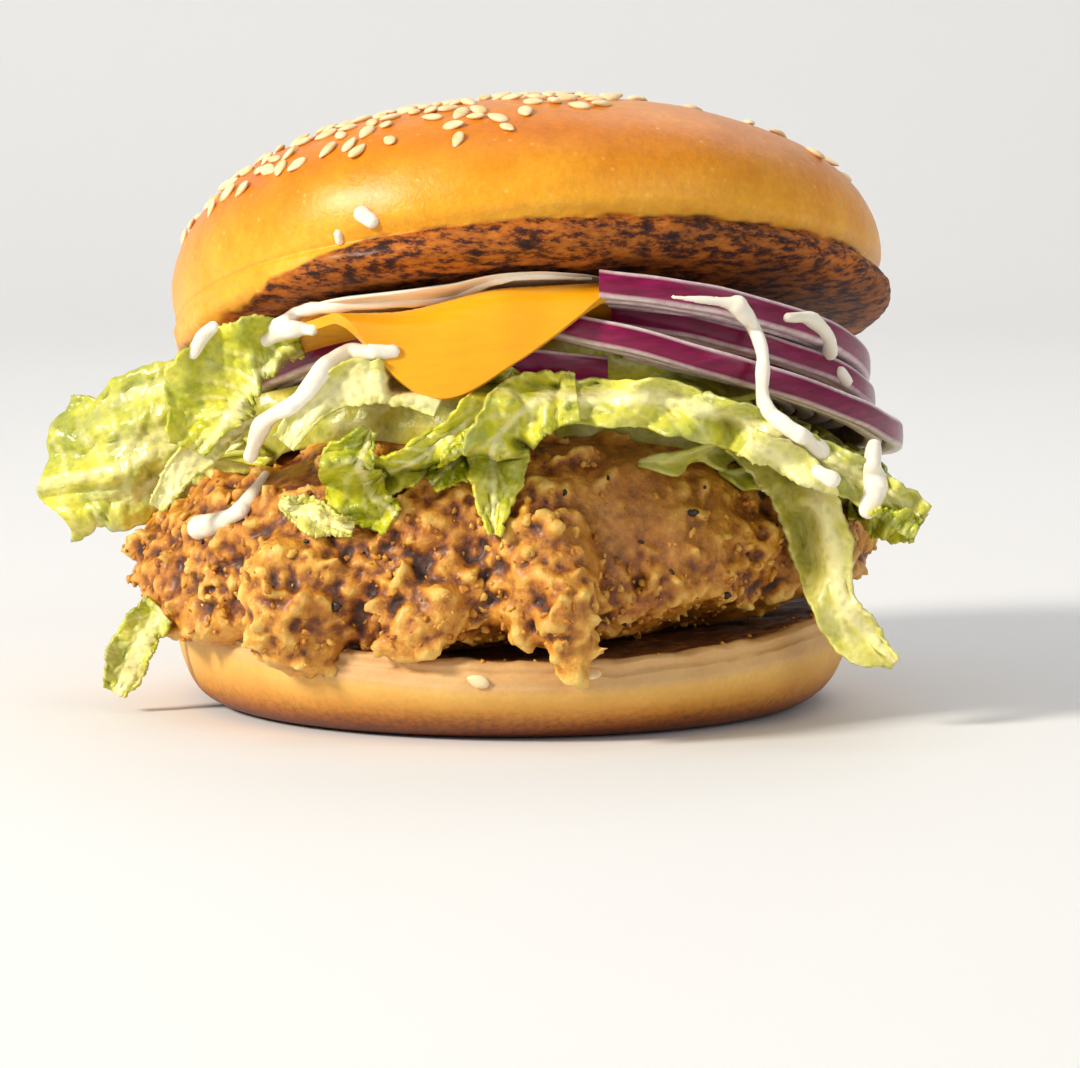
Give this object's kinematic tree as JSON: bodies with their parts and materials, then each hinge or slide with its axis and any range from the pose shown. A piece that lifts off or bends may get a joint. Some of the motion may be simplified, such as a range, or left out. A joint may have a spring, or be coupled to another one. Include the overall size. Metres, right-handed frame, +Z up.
{
  "type": "chicken burger",
  "caption": "Fried chicken burger in a seeded bun with lettuce, red onion, cheese and mayonnaise, resting on its flat underside.",
  "frame": {"origin": "middle of the lower bun's flat underside, at the height of the surface it rests on", "axes": "+Z up, the open front of the burger faces -Y, +X to the right seen from the front"},
  "size_m": [0.1373, 0.1159, 0.0938],
  "materials": {
    "bread_heel": "soft pale golden bread, browner and grainy towards the foot",
    "bread_crown": "glossy baked golden-orange crust with sesame seeds, dark toasted cut face",
    "crust": "craggy fried crust with an oily sheen",
    "lettuce": "crisp wet leaf, pale rib and yellow-green blade",
    "onion": "wet purple skin with a whitish cut face",
    "cheese": "soft satin processed cheese",
    "mayo": "glossy creamy sauce"
  },
  "bodies": {
    "root": {"bun_heel": "bread_heel", "bun_crown": "bread_crown", "chicken_fillet": "crust", "lettuce_bed": "lettuce", "cheese_slice": "cheese", "mayo_spread": "mayo", "onion_top_right": "onion", "onion_second_right": "onion", "onion_inner_right": "onion", "onion_lowest_right": "onion", "onion_front": "onion", "onion_left": "onion", "leaf_big_left": "lettuce", "leaf_fold_left": "lettuce", "rib_left": "lettuce", "rib_front": "lettuce", "shred_front": "lettuce", "blade_front": "lettuce", "shred_dark": "lettuce", "shred_centre": "lettuce", "band_right": "lettuce", "strip_right": "lettuce", "strip_left_low": "lettuce", "frill_right": "lettuce", "chip_front": "lettuce"}
  },
  "joints": []
}
